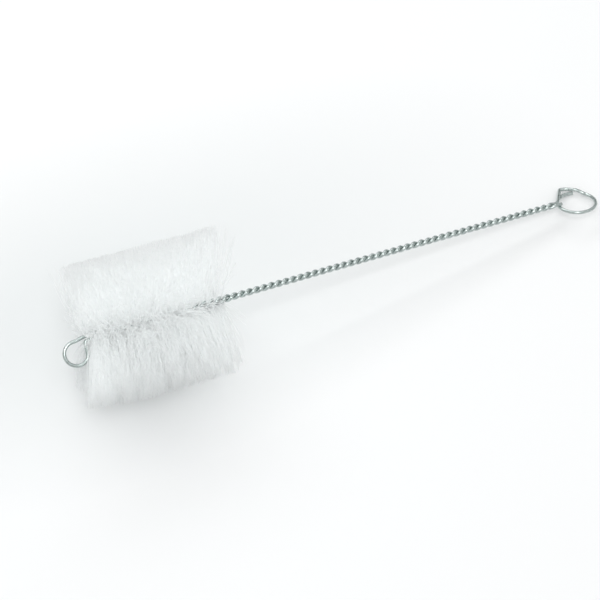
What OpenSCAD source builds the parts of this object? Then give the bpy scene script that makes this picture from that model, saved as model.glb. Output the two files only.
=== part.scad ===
// Bottle brush lying at rest: one wire folded at the tip, twisted into a stem and coiled
// into a finger ring, with a round head of filaments clamped between its two legs.
// The stem runs along X with the ring at +X, and Z is up from the surface it lies on.

/* [Wire] */
// Diameter of the wire
wire_d = 2; // [1.6:0.1:2.4]
// Length of one full turn of the twist
twist_pitch = 9; // [8:0.1:11]
// Gap left between the two legs on the bare stem
leg_gap = 0.06; // [0.04:0.01:0.1]

/* [Stem] */
// Bare twisted wire between the bristles and the ring
stem_len = 207.5; // [140:1:260]

/* [Finger ring] */
// Inside diameter of the ring
ring_in_d = 20; // [16:0.5:28]
// Distance from the end of the twist to the near side of the ring
ring_neck = 2.2; // [2:0.1:5]
// How far the middle of the ring sits to one side of the stem
ring_shift = 0.9; // [0:0.1:2]
// Gap between the ring and the end of the stem that lies over it
ring_gap = 0.12; // [0.1:0.02:0.4]
// How far the corner of the wire stands off the ring
corner_out = 3; // [2:0.2:5]
// Turn of the ring about the stem, from lying flat
ring_roll = -25; // [-30:1:0]

/* [Tip loop] */
// Inside diameter of the folded loop at the tip
loop_in_d = 11; // [8:0.5:12]
// Distance from the start of the twist to the middle of the loop
loop_reach = 7.3; // [7.3:0.1:14]
// Turn of the loop about the stem
loop_roll = 31; // [0:1:60]

/* [Bristles] */
// Diameter over the bristles
head_d = 82; // [60:1:100]
// Length of twisted wire that holds bristles
root_len = 76; // [50:1:110]
// Thickness of the sheet of filaments between the two legs
sheet_t = 0.2; // [0.15:0.05:0.35]
// Clearance between the sheet and each leg
sheet_fit = 0.15; // [0.1:0.01:0.2]
// Thickness of a row of bristles at its outer edge
edge_t = 2.4; // [1.6:0.1:3.2]
// Depth of the notches between tufts
notch = 2.4; // [1:0.1:4]
// How far the tip end rows lean out past their roots
tip_splay = 7.5; // [3:0.5:14]
// How far the ring end rows lean out past their roots
ring_splay = 4; // [2:0.5:10]
// How far the tip end bristles on one side are combed towards the ring
tip_comb = 3; // [0:0.5:6]
// How far the ring end bristles on that side are combed towards the ring
ring_comb = 7; // [0:0.5:9]
// How far the ring end of the head is pressed flat by the surface
press = 5.8; // [3:0.1:9]

/* [Hidden] */

wire_sides = 8;
rings_per_turn = 8;
ring_step = 15;        // degrees of bend for each ring of facets on a curve
blend_steps = 6;
tufts_per_turn = 12;
root_start = 2.5;      // first bristles, just past the start of the twist

wire_r = wire_d / 2;
head_r = head_d / 2;
root_end = root_start + root_len;
twist_len = root_end + stem_len;
turns = round(twist_len / twist_pitch);
pitch = twist_len / turns;
ease = pitch / 2;      // the twist starts and stops over half a turn
lay = -1;              // the legs wind left-handed
advance = pitch / (2 * PI);

function unit(v) = v / norm(v);
function limit(v, lo, hi) = min(max(v, lo), hi);
function smooth(t) = let (c = limit(t, 0, 1)) c * c * (3 - 2 * c);
function bezier(a, b, c, d, t) =
    let (s = 1 - t) s * s * s * a + 3 * s * s * t * b + 3 * s * t * t * c + t * t * t * d;
function radial(angle) = [0, cos(angle), sin(angle)];

// Angle of the first leg about the stem, at a distance x from the start of the twist
twist_angle = lay * 360 * turns + ring_roll - loop_roll;
function eased(x) =
    x < ease ? x * x / (2 * ease)
    : x > twist_len - ease ? twist_len - ease - pow(twist_len - x, 2) / (2 * ease)
    : x - ease / 2;
function leg_angle(x) = loop_roll + twist_angle * eased(x) / (twist_len - ease);

// Distance of each leg from the middle of the stem: wider where filaments lie between them
root_r = wire_r + sheet_t / 2 + sheet_fit;
bare_r = wire_r + leg_gap / 2;
function leg_r(x) = root_r + (bare_r - root_r) * smooth((x - root_end) / pitch);

// A path is a list of [point, direction that one flat side faces]
twist_steps = turns * rings_per_turn;
function leg(side) = [
    for (i = [0:twist_steps])
        let (x = twist_len * i / twist_steps, out = side * radial(leg_angle(x)))
        [[x, 0, 0] + leg_r(x) * out, -out]
];
function reversed(list) = [for (i = [len(list) - 1:-1:0]) list[i]];

// Points of a flat curve, each with the direction across the wire in the plane of the curve
function facing(points, normal) = [
    for (i = [0:len(points) - 1])
        let (ahead = points[min(i + 1, len(points) - 1)], behind = points[max(i - 1, 0)])
        [points[i], unit(cross(normal, unit(ahead - behind)))]
];

// Tip loop, from the first leg round to the second, in the plane of the two legs
loop_r = loop_in_d / 2 + wire_r;
loop_turn = 230;
loop_across = radial(loop_roll);
loop_normal = cross([1, 0, 0], loop_across);
function in_loop(x, q) = [x, 0, 0] + q * loop_across;
function loop_rim(angle) =
    in_loop(-loop_reach + loop_r * cos(angle), -loop_r + loop_r * sin(angle));
loop_end = loop_rim(90 + loop_turn);
loop_pull = loop_reach / 3;
loop_points = concat(
    [for (i = [1:blend_steps - 1])
        bezier(in_loop(0, root_r), in_loop(-loop_pull, root_r),
            in_loop(-loop_reach + loop_pull, 0), loop_rim(90), i / blend_steps)],
    [for (a = [90:ring_step:90 + loop_turn]) loop_rim(a)],
    [for (i = [1:blend_steps - 1])
        bezier(loop_rim(90 + loop_turn - 5), loop_rim(90 + loop_turn - 5)
            + loop_pull * (-sin(90 + loop_turn) * [1, 0, 0] + cos(90 + loop_turn) * loop_across),
            in_loop(-loop_pull, -root_r), in_loop(0, -root_r), i / blend_steps)]
);

// Finger ring, from its cut end round to the first leg, in a plane turned by ring_roll.
// The ring passes under the end of the stem, and the wire comes down to it from a corner
ring_r = ring_in_d / 2 + wire_r;
ring_drop = wire_d + ring_gap;
ring_across = radial(ring_roll);
ring_up = cross([1, 0, 0], ring_across);
ring_mid_x = ring_neck + ring_r;
function in_ring(x, w, up) = [twist_len + x, 0, 0] + w * ring_across + up * ring_up;
function ring_at(out, angle, up) =
    in_ring(ring_mid_x + (ring_r + out) * cos(angle), -ring_shift + (ring_r + out) * sin(angle), up);
cut_angle = -288;
land_angle = 38;
over_angle = 65;
turn_from = ring_at(corner_out, 97, 0);
turn_to = ring_at(corner_out - 0.2, 107, 0);
bend_x = 3;
bend_from = in_ring(bend_x, 2.9, 0);
ring_points = concat(
    [for (a = [cut_angle:(land_angle - cut_angle) / 22:land_angle]) ring_at(0, a, -ring_drop)],
    [for (i = [1:blend_steps])
        bezier(ring_at(0, land_angle, -ring_drop), ring_at(0.1, land_angle + 11, -ring_drop),
            ring_at(0, over_angle - 9, 0), ring_at(0.1, over_angle, 0), i / blend_steps)],
    [for (i = [1:blend_steps])
        bezier(ring_at(0.1, over_angle, 0), ring_at(0.4 * corner_out, over_angle + 11, 0),
            ring_at(0.95 * corner_out, 87, 0), turn_from, i / blend_steps)],
    [for (i = [1:blend_steps])
        bezier(turn_from, ring_at(corner_out + 0.7, 101, 0), ring_at(corner_out + 0.5, 104, 0),
            turn_to, i / blend_steps)],
    [bend_from + 0.5 * (turn_to - bend_from)],
    [for (i = [0:blend_steps - 1])
        bezier(bend_from, bend_from - unit(turn_to - bend_from), in_ring(1.3, bare_r, 0),
            in_ring(0, bare_r, 0), i / blend_steps)]
);
// The second leg is cut off square, over the near side of the ring
stub = [[in_ring(ring_neck + wire_r, -bare_r, 0), ring_across]];

wire_path = concat(
    facing(ring_points, ring_up),
    reversed(leg(1)),
    facing(loop_points, loop_normal),
    leg(-1),
    stub
);

// Corners of a round bar swept along a path, a flat side facing the given direction
function bar_corners(path, radius, sides) = [
    for (i = [0:len(path) - 1])
        let (
            ahead = path[min(i + 1, len(path) - 1)][0],
            behind = path[max(i - 1, 0)][0],
            along = unit(ahead - behind),
            face = unit(path[i][1] - (path[i][1] * along) * along),
            other = cross(along, face)
        )
        for (k = [0:sides - 1])
            let (a = 360 * (k + 0.5) / sides)
            path[i][0] + radius * (cos(a) * face + sin(a) * other)
];
function bar_faces(rings, sides) = concat(
    [[for (k = [0:sides - 1]) k]],
    [for (i = [0:rings - 2]) for (k = [0:sides - 1])
        let (a = i * sides + k, b = i * sides + (k + 1) % sides)
        each k == sides - 1
            ? [[a, a + sides, b], [b, a + sides, b + sides]]
            : [[a, a + sides, b + sides], [a, b + sides, b]]],
    [[for (k = [sides - 1:-1:0]) (rings - 1) * sides + k]]
);
wire_corners = bar_corners(wire_path, wire_r, wire_sides);

// The surface that the brush lies on, in the frame of the stem: it touches the pressed
// end of the head, and the lowest strand of the ring
press_x = root_end + ring_splay;
press_z = press - head_r;
rest_tilt = min([
    for (p = ring_points)
        let (dx = p.x - press_x, dz = p.z - press_z)
        atan2(dz, dx) - asin(wire_r / norm([dx, dz]))
]);
function surface_z(x) = press_z + (x - press_x) * tan(rest_tilt);

// Rows of bristles: one twisted sheet of filaments, its two halves standing out on
// opposite sides of the stem. A row follows the gap between the legs, leans out towards
// the end of the head, and swells to its outer edge.
row_steps_per_turn = 2 * tufts_per_turn;
row_steps = round(root_len / pitch * row_steps_per_turn);
core_r = 1.5 * wire_r;
function tuft_r(i, side) =
    head_r - (i % 2 == 0 ? 0 : notch) - 0.4 * notch * (1 + sin(i * 97 + side * 61)) / 2;
function lean(share, r, out) =
    let (reach = pow(r / head_r, 1.5), comb = tip_comb + (ring_comb - tip_comb) * share)
    reach * (ring_splay * pow(share, 2) - tip_splay * pow(1 - share, 2) + comb * out.y);
function row_half_t(r) =
    r <= core_r ? sheet_t / 2 * norm([r, advance]) / advance : edge_t / 2;
// One corner of a row: r is its distance from the stem, and face is 1 or -1 for its two sides
function row_corner(i, side, r, face) =
    let (
        share = i / row_steps,
        x = root_start + root_len * share,
        out = side * radial(leg_angle(x) + 90),
        round_way = cross([1, 0, 0], out),
        thick = face * side * row_half_t(r) * unit([r, 0, 0] - lay * advance * round_way),
        p = [x + lean(share, r, out), 0, 0] + r * out + thick
    )
    [p.x, p.y, max(p.z, surface_z(p.x))];
row_corners = [
    for (i = [0:row_steps])
        let (r1 = tuft_r(i, 1), r2 = tuft_r(i, -1))
        each [
            row_corner(i, 1, r1, 1), row_corner(i, 1, core_r, 1), row_corner(i, 1, 0, 1),
            row_corner(i, -1, core_r, 1), row_corner(i, -1, r2, 1),
            row_corner(i, -1, r2, -1), row_corner(i, -1, core_r, -1), row_corner(i, 1, 0, -1),
            row_corner(i, 1, core_r, -1), row_corner(i, 1, r1, -1)
        ]
];
row_sides = 10;

// Lying at rest, with the origin on the surface under the middle of the whole brush
function lying(p) =
    let (dx = p.x - press_x, dz = p.z - press_z)
    [dx * cos(rest_tilt) + dz * sin(rest_tilt), p.y, dz * cos(rest_tilt) - dx * sin(rest_tilt)];
resting = [for (p = concat(wire_corners, row_corners)) lying(p)];
middle = [
    for (k = [0:1]) let (v = [for (p = resting) p[k]]) (min(v) + max(v)) / 2
];
function placed(points) = [for (p = points) lying(p) - [middle.x, middle.y, 0]];

module wire() {
    color("silver")
        polyhedron(placed(wire_corners), bar_faces(len(wire_path), wire_sides));
}

module bristles() {
    color("whitesmoke")
        polyhedron(placed(row_corners), bar_faces(row_steps + 1, row_sides));
}

wire();
bristles();
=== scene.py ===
import math

import bpy
import numpy as np
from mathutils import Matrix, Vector


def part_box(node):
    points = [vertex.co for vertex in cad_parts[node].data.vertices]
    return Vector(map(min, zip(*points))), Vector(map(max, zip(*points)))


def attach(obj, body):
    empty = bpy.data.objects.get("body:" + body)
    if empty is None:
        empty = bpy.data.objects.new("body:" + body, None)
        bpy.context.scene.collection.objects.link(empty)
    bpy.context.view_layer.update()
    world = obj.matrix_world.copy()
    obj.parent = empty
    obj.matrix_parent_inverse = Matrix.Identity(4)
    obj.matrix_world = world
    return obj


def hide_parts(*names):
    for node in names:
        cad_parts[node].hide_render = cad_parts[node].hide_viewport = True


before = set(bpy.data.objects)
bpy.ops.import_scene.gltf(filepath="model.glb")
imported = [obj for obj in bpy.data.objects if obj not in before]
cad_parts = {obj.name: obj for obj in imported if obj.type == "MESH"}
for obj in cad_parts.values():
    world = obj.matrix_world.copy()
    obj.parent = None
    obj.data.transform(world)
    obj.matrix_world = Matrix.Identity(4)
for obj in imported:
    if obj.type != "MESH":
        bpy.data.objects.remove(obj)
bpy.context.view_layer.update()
MM = 0.001

# Driving sizes of the solids, in millimetres and degrees
WIRE_R = 1.0
TWIST_PITCH = 9.0
LEG_GAP = 0.06
ROOT_START = 2.5
ROOT_LEN = 76.0
STEM_LEN = 207.5
SHEET_HALF_GAP = 0.25
RING_IN_R = 10.0
RING_NECK = 2.2
RING_SHIFT = 0.9
RING_GAP = 0.12
CORNER_OUT = 3.0
RING_ROLL = -25.0
LOOP_IN_R = 5.5
LOOP_REACH = 7.3
LOOP_ROLL = 31.0
LOOP_TURN = 230.0
HEAD_R = 41.0
TIP_SPLAY = 7.5
RING_SPLAY = 4.0
TIP_COMB = 3.0
RING_COMB = 7.0
PRESS = 5.8

# What follows from them
ROOT_END = ROOT_START + ROOT_LEN
TWIST_LEN = ROOT_END + STEM_LEN
TURNS = round(TWIST_LEN / TWIST_PITCH)
PITCH = TWIST_LEN / TURNS
EASE = PITCH / 2
TWIST_ANGLE = -360 * TURNS + RING_ROLL - LOOP_ROLL
ROOT_R = WIRE_R + SHEET_HALF_GAP
BARE_R = WIRE_R + LEG_GAP / 2
LOOP_R = LOOP_IN_R + WIRE_R
RING_R = RING_IN_R + WIRE_R
RING_DROP = 2 * WIRE_R + RING_GAP
ALONG = np.array([1.0, 0.0, 0.0])

# How finely the round wire is drawn
WIRE_SIDES = 14
STEPS_PER_TURN = 22
STEPS_PER_BLEND = 12
STEPS_PER_CLIMB = 16
STEPS_PER_STRAIGHT = 8
STEPS_PER_LOOP = 42
STEPS_PER_RING = 100


def radial(degrees):
    """Unit vectors square to the stem."""
    a = np.radians(degrees)
    return np.stack([np.zeros_like(a), np.cos(a), np.sin(a)], -1)


def smooth(t):
    """Rises from 0 to 1 with no slope at either end."""
    c = np.clip(t, 0, 1)
    return c * c * (3 - 2 * c)


def eased(x):
    """The twist starts and stops over half a turn."""
    x = np.asarray(x, float)
    start = x * x / (2 * EASE)
    stop = TWIST_LEN - EASE - (TWIST_LEN - x) ** 2 / (2 * EASE)
    return np.where(x < EASE, start, np.where(x > TWIST_LEN - EASE, stop, x - EASE / 2))


def leg_angle(x):
    """Angle of the first leg about the stem, in degrees."""
    return LOOP_ROLL + TWIST_ANGLE * eased(x) / (TWIST_LEN - EASE)


def leg_r(x):
    """Distance of each leg from the middle of the stem, wider where it holds filaments."""
    return ROOT_R + (BARE_R - ROOT_R) * smooth((x - ROOT_END) / PITCH)


def bezier(a, b, c, d, steps):
    """Points of a cubic curve, both ends included."""
    t = np.linspace(0, 1, steps + 1)[:, None]
    s = 1 - t
    return s**3 * a + 3 * s * s * t * b + 3 * s * t * t * c + t**3 * d


# The path of the wire, in the frame of the stem
def loop_path():
    """Tip loop, from the first leg round to the second."""
    across = radial(LOOP_ROLL)
    pull = LOOP_REACH / 3
    start = 90
    last = start + LOOP_TURN

    def at(x, q):
        return x * ALONG + q * across

    def rim(degrees):
        a = math.radians(degrees)
        return at(-LOOP_REACH + LOOP_R * math.cos(a), -LOOP_R + LOOP_R * math.sin(a))

    a = math.radians(last)
    away = -math.sin(a) * ALONG + math.cos(a) * across
    leave = bezier(at(0, ROOT_R), at(-pull, ROOT_R), at(-LOOP_REACH + pull, 0), rim(start),
                   STEPS_PER_BLEND)
    back = bezier(rim(last), rim(last) + pull * away, at(-pull, -ROOT_R), at(0, -ROOT_R),
                  STEPS_PER_BLEND)
    middle = [rim(b) for b in np.linspace(start, last, STEPS_PER_LOOP)]
    return np.concatenate([leave[1:-1], middle, back[1:-1]])


RING_ACROSS = radial(RING_ROLL)
RING_UP = np.cross(ALONG, RING_ACROSS)

# Places round the ring, in degrees: its cut end, where it starts to climb over that end,
# where it is over it, its corner, and where the corner has turned back to the stem
RING_CUT = -288
RING_LAND = 28
RING_OVER = 67
CORNER_AT = 97
TURNED_AT = 107

# Control points of its curves: how far outside its own line, degrees, and how far up
CLIMB = ((0, RING_LAND, -RING_DROP), (0.33, RING_LAND + 13.5, -RING_DROP),
         (-0.22, RING_OVER - 12, 0), (0.1, RING_OVER, 0))
RISE = ((0.1, RING_OVER, 0), (0.3 * CORNER_OUT, RING_OVER + 11, 0),
        (0.95 * CORNER_OUT, CORNER_AT - 10, 0), (CORNER_OUT, CORNER_AT, 0))
TURN = ((CORNER_OUT, CORNER_AT, 0), (CORNER_OUT + 0.7, CORNER_AT + 4, 0),
        (CORNER_OUT + 0.5, TURNED_AT - 3, 0), (CORNER_OUT - 0.2, TURNED_AT, 0))

# Where the straight wire bends into the stem: past the twist and to the side, and how far
# past the twist it lines up with the stem
BEND_PLACE = (3, 2.9)
BEND_PULL = 1.3


def in_ring(x, w, up):
    """A point past the end of the twist, in the plane of the ring and above it."""
    return (TWIST_LEN + x) * ALONG + w * RING_ACROSS + up * RING_UP


def ring_at(out, degrees, up):
    """A point round the ring, so far outside the middle of its wire and so far up."""
    a = math.radians(degrees)
    reach = RING_R + out
    return in_ring(RING_NECK + RING_R + reach * math.cos(a), -RING_SHIFT + reach * math.sin(a), up)


def ring_curve(controls, steps):
    """A curve round the ring, through its first and last control point."""
    return bezier(*[ring_at(*control) for control in controls], steps)


def ring_path():
    """Finger ring, from its cut end under the stem, round and up to the corner, to the stem.

    It climbs over its own cut end along a longer arc than the solid does, by up to 0.5 mm.
    """
    flat = [ring_at(0, b, -RING_DROP) for b in np.linspace(RING_CUT, RING_LAND, STEPS_PER_RING)]
    climb = ring_curve(CLIMB, STEPS_PER_CLIMB)
    rise = ring_curve(RISE, STEPS_PER_BLEND)
    turn = ring_curve(TURN, STEPS_PER_BLEND)
    turned = turn[-1]
    bend = in_ring(*BEND_PLACE, 0)
    way = (turned - bend) / np.linalg.norm(turned - bend)
    straight = turned + (bend - turned) * np.linspace(0, 1, STEPS_PER_STRAIGHT + 1)[1:, None]
    home = bezier(bend, bend - way, in_ring(BEND_PULL, BARE_R, 0), in_ring(0, BARE_R, 0),
                  STEPS_PER_BLEND)
    return np.concatenate([flat, climb[1:], rise[1:], turn[1:], straight, home[1:-1]])


def wire_path():
    """The whole wire: ring, first leg, tip loop, second leg and its cut end behind the ring."""
    x = np.linspace(0, TWIST_LEN, TURNS * STEPS_PER_TURN + 1)
    out = leg_r(x)[:, None] * radial(leg_angle(x))
    middle = x[:, None] * ALONG
    stub = [in_ring((RING_NECK + WIRE_R) * k, -BARE_R, 0) for k in (0.5, 1.0)]
    return np.concatenate([ring_path(), (middle + out)[::-1], loop_path(), middle - out, stub])


PATH = wire_path()


# Pose at rest, worked out as in the part's source: the surface touches the pressed end of
# the head and the lowest strand of the ring
PRESS_X = ROOT_END + RING_SPLAY
PRESS_Z = PRESS - HEAD_R


def rest_tilt():
    """How far the brush turns about the pressed end until the ring touches, in radians."""
    strand = ring_path()
    dx = strand[:, 0] - PRESS_X
    dz = strand[:, 2] - PRESS_Z
    return float(np.min(np.arctan2(dz, dx) - np.arcsin(WIRE_R / np.hypot(dx, dz))))


TILT = rest_tilt()


def lying(p):
    """Points in the frame of the stem, turned about the pressed end until the brush rests."""
    p = np.asarray(p, float)
    dx, dz = p[..., 0] - PRESS_X, p[..., 2] - PRESS_Z
    c, s = math.cos(TILT), math.sin(TILT)
    return np.stack([dx * c + dz * s, p[..., 1], dz * c - dx * s], -1)


def lying_way(way):
    """A direction in the frame of the stem, turned with the brush."""
    return lying(way) - lying(0 * way)


def wire_middle():
    """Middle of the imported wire's box less that of the path, in x and y."""
    low, high = np.array(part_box("wire")) / MM
    path = lying(PATH)
    shift = (low + high) / 2 - (path.min(0) + path.max(0)) / 2
    return np.array([shift[0], shift[1], 0.0])


SHIFT = wire_middle()


def placed(p):
    """Points in the frame of the stem, to millimetres in the shared frame."""
    return lying(p) + SHIFT


# Meshes
def mesh_object(name, corners, faces, uv):
    """A smooth-shaded mesh of quads, where a corner that repeats makes a triangle."""
    mesh = bpy.data.meshes.new(name)
    faces = np.asarray(faces)
    triangle = faces[:, 2] == faces[:, 3]
    sizes = np.where(triangle, 3, 4)
    keep = np.ones(faces.shape, bool)
    keep[triangle, 3] = False
    loops = faces[keep].astype(np.int32)
    mesh.vertices.add(len(corners))
    mesh.vertices.foreach_set("co", (np.asarray(corners) * MM).astype(np.float32).ravel())
    mesh.loops.add(len(loops))
    mesh.loops.foreach_set("vertex_index", loops)
    mesh.polygons.add(len(faces))
    mesh.polygons.foreach_set("loop_start", (np.cumsum(sizes) - sizes).astype(np.int32))
    mesh.polygons.foreach_set("use_smooth", np.ones(len(faces), bool))
    layer = mesh.uv_layers.new(name="along")
    layer.data.foreach_set("uv", np.asarray(uv, np.float32)[loops].ravel())
    mesh.update(calc_edges=True)
    mesh.validate()
    ob = bpy.data.objects.new(name, mesh)
    bpy.context.scene.collection.objects.link(ob)
    return ob


# Rounding of a cut end, as shares of the radius: how far beyond the end, and how thick there
END_ROUNDING = ((0.18, 0.55), (0.108, 0.86))


def round_bar(name, path, radius, sides, hint):
    """A round bar swept along a path with the least turning, its cut ends slightly rounded.

    The first corner of its first ring lies the way that the hint points.
    """
    ahead = np.gradient(path, axis=0)
    ahead /= np.linalg.norm(ahead, axis=1)[:, None]
    run = np.concatenate([[0], np.cumsum(np.linalg.norm(np.diff(path, axis=0), axis=1))])
    turn = 2 * np.pi * np.arange(sides) / sides
    rings, uv = [], []

    def add_ring(centre, up, across, size, u):
        rings.append(centre + size * (np.cos(turn)[:, None] * up + np.sin(turn)[:, None] * across))
        uv.append(np.stack([np.full(sides, u), turn / (2 * np.pi)], 1))

    up = hint
    frames = []
    for t in ahead:
        up = up - (up @ t) * t
        up = up / np.linalg.norm(up)
        frames.append((up, np.cross(t, up)))
    for beyond, size in END_ROUNDING:
        add_ring(path[0] - beyond * radius * ahead[0], *frames[0], size * radius, run[0])
    for i, p in enumerate(path):
        add_ring(p, *frames[i], radius, run[i])
    for beyond, size in END_ROUNDING[::-1]:
        add_ring(path[-1] + beyond * radius * ahead[-1], *frames[-1], size * radius, run[-1])
    count = len(rings)
    corners = np.concatenate(rings + [rings[0].mean(0)[None], rings[-1].mean(0)[None]])
    uv = np.concatenate(uv + [uv[0][:1], uv[-1][:1]])
    k = np.arange(sides)
    k1 = (k + 1) % sides
    faces = [np.stack([i * sides + k, i * sides + k1, (i + 1) * sides + k1, (i + 1) * sides + k], 1)
             for i in range(count - 1)]
    first, last = count * sides, count * sides + 1
    faces.append(np.stack([k1, k, np.full(sides, first), np.full(sides, first)], 1))
    top = (count - 1) * sides
    faces.append(np.stack([top + k, top + k1, np.full(sides, last), np.full(sides, last)], 1))
    return mesh_object(name, corners, np.concatenate(faces), uv)


# Filaments: how many, and how each is drawn
COUNT = 11100
GROUPS = 3
SEGMENTS = 6
SIDES = 3
FILAMENT_D = 0.2
FILAMENT_D_RANGE = (0.85, 1.15)
# Each starts between the legs, this far from the middle of the stem
START_R = 0.6

# Parts of the head, as shares of its length from the tip: its tip zone, then where the dense
# half ends and where it starts to thin out towards the ring, each with over how much
TIP_ZONE = 0.14
DENSE_END = (0.5, 0.3)
THIN_START = (0.62, 0.3)

# Sides of the head: their middle round the stem, the cosine to it from which a filament
# counts, and how much more makes it count in full
BENCH_WAY = math.radians(228)
VIEW_WAY = math.radians(115)
NEAR_BENCH = (BENCH_WAY, -0.25, 1.1)
UPPER_SIDE = (VIEW_WAY, -0.1, 0.9)
FACING_UP = (VIEW_WAY, 0.3, 0.6)

# Roots drawn for each filament that is used
POOL = 3
# Share of them that may be used: everywhere, added in the tip zone, lost along the head,
# and lost where it thins out, both all round and added on the upper side
KEPT = 0.58
KEPT_AT_TIP = 0.42
LOST_ALONG = 0.15
LOST_THIN = (0.1, 0.3)

# Trim of the ends: inside the outline by this much and more, and a few by much more
TRIM = 0.2
TRIM_SPREAD = 0.9
SHORT_SHARE = 0.05
SHORT_RANGE = (1, 8)
# Near the bench the tip end is worn shorter by this, over this share of the head
LOW_TRIM = 3.4
LOW_TRIM_OVER = 0.3

# Lean of the tip end rows on the two sides, over what the splay gives
SIDE_LEAN = 2.6

# Pull of the tufts and sway of the rows on the ends: everywhere, and added near the bench
TUFT_PULL = (6.0, 34.0)
SWAY_ALONG = (5, 14)
SWAY_ROUND = (5, 18)

# Share of loose filaments, and the shares by which they are fewer at the ring end and near
# the bench
LOOSE = 0.5
LOOSE_LESS_ALONG = 0.7
LOOSE_LESS_LOW = 0.6

# Scatter of the ends, for filaments that are held well and for loose ones: in millimetres
# along the stem, and in radians round it
TILT_ALONG = (1.5, 3.2)
TILT_ROUND = (0.09, 0.34)
# Share of the scatter along the stem at both ends of the head, and four times what is added
# half way
EVEN_ENDS = 0.45
EVEN_MIDDLE = 2.2
# Near the bench the ends scatter less by these shares
TILT_ALONG_LESS = 0.45
TILT_ROUND_LESS = 0.65
# Scatter added in the dense half, to the angles and to the roots along the wire
DENSE_TILT = 0.14
DENSE_ROOTS = 1.1
# How far before the start of the head such roots may lie where they face up
ROOTS_BEFORE = 1.5

# Bow of a filament: everywhere, added in the dense half, and added there where it faces up
BOW = 0.9
DENSE_BOW = 0.5
DENSE_BOW_UP = 1.8

# Powers by which lean and pull grow with the distance from the stem, and by how much the
# first is lower in the tip zone
LEAN_POWER = 1.5
LEAN_POWER_LESS = 0.7
TUFT_POWER = 1.4
# The scatter round the stem is full from this distance out
SCATTER_R = 6
# A pull round the stem turns a filament as it would at this distance at least
BEND_R = 4

# Filaments that lie on the bench: their least height over it and its spread, by which share
# of their depth they move along and across, and from where they move across in full
LIE_HEIGHT = (0.2, 0.5)
LIE_SPREAD = (0.25, 0.55)
LIE_FROM = 12

SEED = 20261128
rng = np.random.default_rng(SEED)


class Waves:
    """A smooth random field over the outside of the head. Its slope pulls tips into tufts."""

    def __init__(self, count, longest, shortest):
        k = rng.uniform(2 * np.pi / longest, 2 * np.pi / shortest, count)
        a = rng.uniform(0, 2 * np.pi, count)
        self.kx, self.ky = k * np.cos(a), k * np.sin(a)
        self.phase = rng.uniform(0, 2 * np.pi, count)

    def slope(self, around, along):
        """Slope of the field round the stem and along it."""
        s = np.sin(around[:, None] * self.kx + along[:, None] * self.ky + self.phase)
        return -(s * self.kx).mean(1), -(s * self.ky).mean(1)


TUFTS = Waves(count=24, longest=20, shortest=8)
SWAY = Waves(count=10, longest=60, shortest=25)

# Partings between tufts: place along the stem and round it, push to both sides, half width,
# and how far the parting runs along the stem for each degree round it
PARTINGS = (
    (4.0, 188, 4.2, 3.2, 0.18),
    (17.0, 183, 2.8, 2.4, 0.08),
    (32.0, 188, 3.6, 2.8, 0.20),
    (46.0, 184, 4.4, 3.8, 0.16),
    (62.0, 190, 2.8, 2.8, 0.16),
    (10.5, 25, 1.8, 1.5, 0.0),
    (23.0, 27, 1.6, 1.4, 0.0),
)
PARTING_REACH = 34


def parted(along, angle):
    """How far the partings push a filament's end along the stem."""
    degrees = np.degrees(angle) % 360
    push = np.zeros(len(along))
    for place, middle, amount, width, slant in PARTINGS:
        off = (along - place - slant * (degrees - middle)) / width
        near = np.exp(-((degrees - middle) / PARTING_REACH) ** 2)
        push += amount * near * off * np.exp(0.5 - off * off / 2)
    return push


def on_side(angle, side):
    """1 for filaments on one side of the head, falling to 0 away from it."""
    middle, edge, span = side
    return smooth((np.cos(angle - middle) - edge) / span)


def past(share, zone):
    """0 up to a place along the head, rising to 1 after it."""
    start, span = zone
    return smooth((share - start) / span)


class Roots:
    """Where each filament leaves the wire, and in which part of the head it stands."""

    def __init__(self, count):
        # more than needed, of which the head loses some towards the ring end, and most on top
        pool = POOL * count
        share = rng.random(pool)
        x = ROOT_START + ROOT_LEN * share
        side = rng.integers(0, 2, pool)
        angle = np.radians(leg_angle(x) + 90 + 180 * side)
        tip = 1 - smooth(share / TIP_ZONE)
        lost = past(share, THIN_START) * (LOST_THIN[0] + LOST_THIN[1] * on_side(angle, UPPER_SIDE))
        kept = KEPT + KEPT_AT_TIP * tip - LOST_ALONG * share - lost
        chosen = np.flatnonzero(rng.random(pool) < kept)[:count]
        self.count = count
        self.share = share[chosen]
        self.x = x[chosen]
        self.angle = angle[chosen]
        self.tip = tip[chosen]
        self.low = on_side(self.angle, NEAR_BENCH)
        self.facing = on_side(self.angle, FACING_UP)
        self.dense = 1 - past(self.share, DENSE_END)

    def normal(self, *shape):
        """A draw for each filament, spread by 1 about 0."""
        return rng.normal(0, 1, (*shape, self.count))

    def with_low(self, pair):
        """A value that grows towards the bench: everywhere, and added near it."""
        return pair[0] + pair[1] * self.low

    def less_low(self, share):
        """1, and less by a share near the bench."""
        return 1 - share * self.low


def reach_of(at):
    """How far each filament reaches from the middle of the stem."""
    reach = HEAD_R - TRIM - np.abs(rng.normal(0, TRIM_SPREAD, at.count))
    short = rng.random(at.count) < SHORT_SHARE
    reach = np.where(short, reach - rng.uniform(*SHORT_RANGE, at.count), reach)
    return reach - LOW_TRIM * at.low * np.clip(1 - at.share / LOW_TRIM_OVER, 0, 1)


def lean_of(at):
    """How far each end leans along the stem: the splay of the two ends, and the comb."""
    comb = TIP_COMB + (RING_COMB - TIP_COMB) * at.share
    lean = RING_SPLAY * at.share**2 - TIP_SPLAY * (1 - at.share) ** 2 + comb * np.cos(at.angle)
    return lean + SIDE_LEAN * at.tip * (1 - at.facing) * (1 - at.low)


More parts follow.
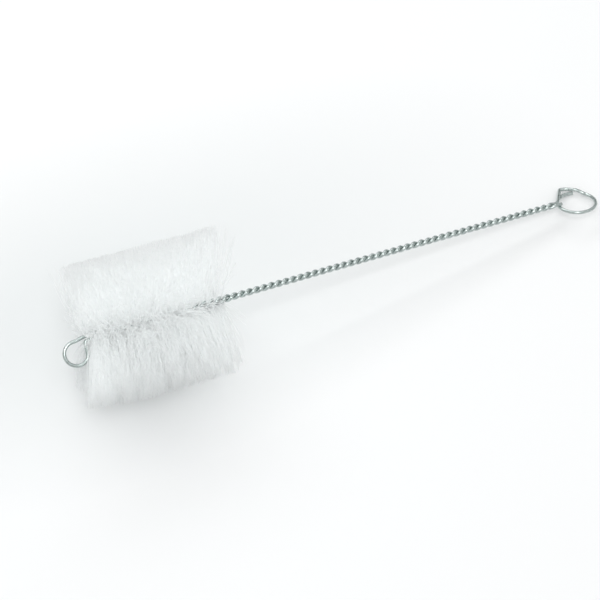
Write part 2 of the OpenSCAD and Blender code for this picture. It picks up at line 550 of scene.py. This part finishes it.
def pulled(at, lean):
    """How far tufts and partings pull each end, along the stem and round it."""
    around, along = at.angle * HEAD_R, at.x + lean
    tuft_round, tuft_along = TUFTS.slope(around, along)
    sway_round, sway_along = SWAY.slope(around, along)
    pull = at.with_low(TUFT_PULL)
    push = parted(along, at.angle)
    return (pull * tuft_along + at.with_low(SWAY_ALONG) * sway_along + push,
            pull * tuft_round + at.with_low(SWAY_ROUND) * sway_round)


def middle_lines(at):
    """Points along each filament, from its root to its end."""
    reach = reach_of(at)
    lean = lean_of(at)
    pull_x, pull_round = pulled(at, lean)
    # some filaments are loose and cross the gaps between the rows
    loose = rng.random(at.count) < LOOSE * (1 - LOOSE_LESS_ALONG * at.share) * at.less_low(LOOSE_LESS_LOW)
    even = (EVEN_ENDS + EVEN_MIDDLE * at.share * (1 - at.share)) * at.less_low(TILT_ALONG_LESS)
    tilt_x = even * np.where(loose, TILT_ALONG[1], TILT_ALONG[0]) * at.normal()
    wide = np.where(loose, TILT_ROUND[1], TILT_ROUND[0]) * at.less_low(TILT_ROUND_LESS)
    tilt_round = (wide + DENSE_TILT * at.dense * (1 - at.low)) * at.normal()
    bow_x, bow_round = (BOW + at.dense * (DENSE_BOW + DENSE_BOW_UP * at.facing)) * at.normal(2)
    root = at.x + DENSE_ROOTS * at.dense * at.normal()
    root = np.maximum(root, ROOT_START - ROOTS_BEFORE * at.facing)
    # at the tip the rows lean from close to the wire
    power = LEAN_POWER - LEAN_POWER_LESS * at.tip * np.maximum(at.facing, at.low)
    points = []
    for t in np.arange(SEGMENTS + 1) / SEGMENTS:
        r = START_R + (reach - START_R) * t
        out = r / HEAD_R
        arc = math.sin(math.pi * t)
        x = root + lean * out**power + pull_x * out**TUFT_POWER + tilt_x * out + bow_x * arc
        bent = (pull_round * out**TUFT_POWER + bow_round * arc) / np.maximum(r, BEND_R)
        a = at.angle + tilt_round * smooth(r / SCATTER_R) + bent
        points.append(np.stack([x, r * np.cos(a), r * np.sin(a)], 1))
    return placed(np.stack(points, 1))


def kept_off_bench(p):
    """What would go into the bench bends along it, and spreads."""
    count = len(p)
    height = LIE_HEIGHT[0] + LIE_HEIGHT[1] * rng.random((count, 1))
    deep = np.clip(height - p[..., 2], 0, None)
    p[..., 2] = np.maximum(p[..., 2], height)
    outer = np.minimum(np.abs(p[..., 1]) / LIE_FROM, 1)
    p[..., 1] += np.sign(p[..., 1]) * deep * LIE_SPREAD[1] * outer
    p[..., 0] += deep * LIE_SPREAD[0] * rng.normal(0, 1, (count, 1))
    return p


def filament_mesh(name, p):
    """Three-sided filaments round their middle lines, each with its own thickness and shade."""
    count, rings = p.shape[:2]
    ahead = np.gradient(p, axis=1)
    ahead /= np.linalg.norm(ahead, axis=2)[..., None]
    up = np.cross(ahead, rng.normal(0, 1, (count, 1, 3)))
    up /= np.linalg.norm(up, axis=2)[..., None]
    across = np.cross(ahead, up)
    radius = FILAMENT_D / 2 * rng.uniform(*FILAMENT_D_RANGE, (count, 1, 1))
    turns = [2 * math.pi * k / SIDES for k in range(SIDES)]
    corners = np.stack([p + radius * (math.cos(a) * up + math.sin(a) * across) for a in turns], 2)
    uv = np.zeros((count, rings, SIDES, 2))
    uv[..., 0] = rng.random(count)[:, None, None]
    uv[..., 1] = np.linspace(0, 1, rings)[None, :, None]
    near = (np.arange(count) * rings * SIDES)[:, None]
    far = near + (rings - 1) * SIDES
    ring = near[..., None] + (np.arange(rings - 1) * SIDES)[None, :, None]
    side = np.arange(SIDES)
    a = ring + side
    b = ring + (side + 1) % SIDES
    walls = np.stack([a, b, b + SIDES, a + SIDES], -1).reshape(-1, 4)
    far_ends = np.concatenate([far, far + 1, far + 2, far + 2], 1)
    near_ends = np.concatenate([near + 2, near + 1, near, near], 1)
    faces = np.concatenate([walls, far_ends, near_ends])
    return mesh_object(name, corners.reshape(-1, 3), faces, uv.reshape(-1, 2))


def filaments(name, count):
    """Loose filaments that stand out from the sheet between the two legs of the wire."""
    return filament_mesh(name, kept_off_bench(middle_lines(Roots(count))))


# Materials
def new_material(name):
    """An empty material, its node tree and its output."""
    material = bpy.data.materials.new(name)
    material.use_nodes = True
    tree = material.node_tree
    tree.nodes.clear()
    return material, tree, tree.nodes.new("ShaderNodeOutputMaterial")


def add(tree, kind, **values):
    """A node whose inputs or settings of these names get these values."""
    n = tree.nodes.new(kind)
    for key, value in values.items():
        key = key.replace("_", " ") if key.replace("_", " ") in n.inputs else key
        if key in n.inputs:
            n.inputs[key].default_value = value
        else:
            setattr(n, key, value)
    return n


def ramp(tree, factor, stops):
    """A colour that follows a factor between stops, each a place and a colour."""
    n = tree.nodes.new("ShaderNodeValToRGB")
    while len(n.color_ramp.elements) < len(stops):
        n.color_ramp.elements.new(0.5)
    for element, (position, colour) in zip(n.color_ramp.elements, stops):
        element.position = position
        element.color = (*colour, 1)
    tree.links.new(factor, n.inputs["Fac"])
    return n.outputs["Color"]


def zinc():
    """Bright zinc on drawn wire: fine lines along it, and a cloudy bloom."""
    material, tree, out = new_material("zinc_coated_wire")
    link = tree.links.new
    metal = add(tree, "ShaderNodeBsdfPrincipled", Metallic=1.0)
    uv = add(tree, "ShaderNodeUVMap", uv_map="along")
    stretch = add(tree, "ShaderNodeMapping", Scale=(0.25, 26, 1))
    link(uv.outputs["UV"], stretch.inputs["Vector"])
    lines = add(tree, "ShaderNodeTexNoise", Scale=1.0, Detail=4.0, Roughness=0.6)
    link(stretch.outputs["Vector"], lines.inputs["Vector"])
    place = add(tree, "ShaderNodeTexCoord")
    bloom = add(tree, "ShaderNodeTexNoise", Scale=420.0, Detail=5.0, Roughness=0.65)
    link(place.outputs["Object"], bloom.inputs["Vector"])
    cloudy = ramp(tree, bloom.outputs["Fac"],
                  [(0.3, (0.42, 0.47, 0.455)), (0.55, (0.58, 0.64, 0.625)), (0.8, (0.74, 0.79, 0.775))])
    streaky = ramp(tree, lines.outputs["Fac"], [(0.35, (0.66, 0.69, 0.69)), (0.65, (1, 1, 1))])
    colour = add(tree, "ShaderNodeMix", data_type="RGBA", blend_type="MULTIPLY")
    colour.inputs["Factor"].default_value = 0.5
    link(cloudy, colour.inputs["A"])
    link(streaky, colour.inputs["B"])
    link(colour.outputs["Result"], metal.inputs["Base Color"])
    rough = add(tree, "ShaderNodeMapRange", To_Min=0.12, To_Max=0.36)
    link(bloom.outputs["Fac"], rough.inputs["Value"])
    link(rough.outputs["Result"], metal.inputs["Roughness"])
    bump = add(tree, "ShaderNodeBump", Strength=0.25, Distance=0.00004)
    link(lines.outputs["Fac"], bump.inputs["Height"])
    link(bump.outputs["Normal"], metal.inputs["Normal"])
    link(metal.outputs["BSDF"], out.inputs["Surface"])
    return material


def nylon():
    """Milky clear nylon: lets much of the light through, and each filament has its own shade."""
    material, tree, out = new_material("milky_nylon")
    link = tree.links.new
    uv = add(tree, "ShaderNodeUVMap", uv_map="along")
    split = add(tree, "ShaderNodeSeparateXYZ")
    link(uv.outputs["UV"], split.inputs["Vector"])
    shade = ramp(tree, split.outputs["X"],
                 [(0.0, (0.95, 0.965, 0.965)), (0.5, (0.97, 0.98, 0.98)), (1.0, (0.99, 0.995, 0.995))])
    skin = add(tree, "ShaderNodeBsdfPrincipled", Roughness=0.38, IOR=1.53)
    link(shade, skin.inputs["Base Color"])
    through = add(tree, "ShaderNodeBsdfTranslucent")
    link(shade, through.inputs["Color"])
    body = add(tree, "ShaderNodeMixShader", Fac=0.6)
    link(skin.outputs["BSDF"], body.inputs[1])
    link(through.outputs["BSDF"], body.inputs[2])
    # so fine and clear a filament casts no shadow of its own
    clear = add(tree, "ShaderNodeBsdfTransparent")
    ray = add(tree, "ShaderNodeLightPath")
    both = add(tree, "ShaderNodeMixShader")
    link(ray.outputs["Is Shadow Ray"], both.inputs[0])
    link(body.outputs["Shader"], both.inputs[1])
    link(clear.outputs["BSDF"], both.inputs[2])
    link(both.outputs["Shader"], out.inputs["Surface"])
    return material


def bench():
    """Pale floor, with painted shade: its colour is darker in an oval behind the head."""
    material, tree, out = new_material("pale_bench")
    link = tree.links.new
    place = add(tree, "ShaderNodeTexCoord")
    # painted shade: the floor colour darkens in an oval round a spot behind the head, standing in for the
    # head's soft shade on it
    painted_shade_oval = add(tree, "ShaderNodeMapping", vector_type="TEXTURE", Location=(-0.12, 0.05, 0),
               Scale=(0.3, 0.12, 1))
    link(place.outputs["Object"], painted_shade_oval.inputs["Vector"])
    far = add(tree, "ShaderNodeVectorMath", operation="LENGTH")
    link(painted_shade_oval.outputs["Vector"], far.inputs[0])
    tone = ramp(tree, far.outputs["Value"],
                [(0.2, (0.80, 0.82, 0.82)), (1.0, (0.915, 0.92, 0.92))])
    matt = add(tree, "ShaderNodeBsdfDiffuse")
    link(tone, matt.inputs["Color"])
    link(matt.outputs["BSDF"], out.inputs["Surface"])
    return material


# Pieces
wire = round_bar("twisted_wire", placed(PATH), WIRE_R, WIRE_SIDES, lying_way(RING_UP))
wire.data.materials.append(zinc())
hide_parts("wire")
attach(wire, "root")

milky = nylon()
for group in range(GROUPS):
    tuft = filaments("filaments_%d" % (group + 1), COUNT // GROUPS)
    tuft.data.materials.append(milky)
    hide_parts("bristles")
    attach(tuft, "root")

# Floor, light and camera
FLOOR_SIZE = 6
SKY_STRENGTH = 0.75
# The sky tips a little to the front, and is at its full tone from this height up
SKY_UP = (0.0, -0.04, 1.0)
SKY_FULL = 0.27

CAMERA_AZIMUTH = math.radians(-22.465)
CAMERA_ELEVATION = math.radians(60.0)
CAMERA_DISTANCE = 1.004
CAMERA_AIM = Vector((-0.03122, -0.01886, 0.040))
CAMERA_LENS = 111.04
CAMERA_FILM = 36


def studio_world():
    """Sky that is bright overhead, with a dim band round the horizon."""
    world = bpy.data.worlds.new("studio")
    world.use_nodes = True
    tree = world.node_tree
    tree.nodes.clear()
    out = add(tree, "ShaderNodeOutputWorld")
    sky = add(tree, "ShaderNodeBackground", Strength=SKY_STRENGTH)
    way = add(tree, "ShaderNodeTexCoord")
    rise = add(tree, "ShaderNodeVectorMath", operation="DOT_PRODUCT")
    rise.inputs[1].default_value = SKY_UP
    tree.links.new(way.outputs["Generated"], rise.inputs[0])
    span = add(tree, "ShaderNodeMapRange", From_Min=0.0, From_Max=SKY_FULL)
    tree.links.new(rise.outputs["Value"], span.inputs["Value"])
    tone = ramp(tree, span.outputs["Result"],
                [(0.0, (0.05, 0.06, 0.057)), (0.3, (0.13, 0.145, 0.14)), (1.0, (0.99, 1.0, 1.005))])
    tree.links.new(tone, sky.inputs["Color"])
    tree.links.new(sky.outputs["Background"], out.inputs["Surface"])
    return world


def softbox(name, place, size, power):
    """A lamp with a wide face, turned to the middle of the bench."""
    data = bpy.data.lights.new(name, "AREA")
    data.shape = "RECTANGLE"
    data.size, data.size_y = size
    data.energy = power
    ob = bpy.data.objects.new(name, data)
    ob.location = place
    ob.rotation_euler = (-Vector(place)).to_track_quat("-Z", "Y").to_euler()
    bpy.context.scene.collection.objects.link(ob)


def photo_camera():
    """Camera at the photograph's viewing angle."""
    data = bpy.data.cameras.new("photo_camera")
    data.sensor_width = CAMERA_FILM
    data.lens = CAMERA_LENS
    ob = bpy.data.objects.new("photo_camera", data)
    bpy.context.scene.collection.objects.link(ob)
    level = math.cos(CAMERA_ELEVATION)
    back = Vector((math.sin(CAMERA_AZIMUTH) * level, -math.cos(CAMERA_AZIMUTH) * level,
                   math.sin(CAMERA_ELEVATION)))
    ob.location = CAMERA_AIM + back * CAMERA_DISTANCE
    ob.rotation_euler = (-back).to_track_quat("-Z", "Y").to_euler()
    return ob


bpy.ops.mesh.primitive_plane_add(size=FLOOR_SIZE, location=(0, 0, 0))
floor = bpy.context.object
floor.name = "bench"
floor.data.materials.append(bench())

bpy.context.scene.world = studio_world()
softbox("key_softbox", place=(-0.12, -0.42, 1.3), size=(0.6, 0.5), power=4.6)
softbox("back_softbox", place=(-0.1, 0.85, 0.75), size=(1.5, 0.4), power=3.6)
bpy.context.scene.camera = photo_camera()
bpy.context.scene.view_settings.view_transform = "Standard"
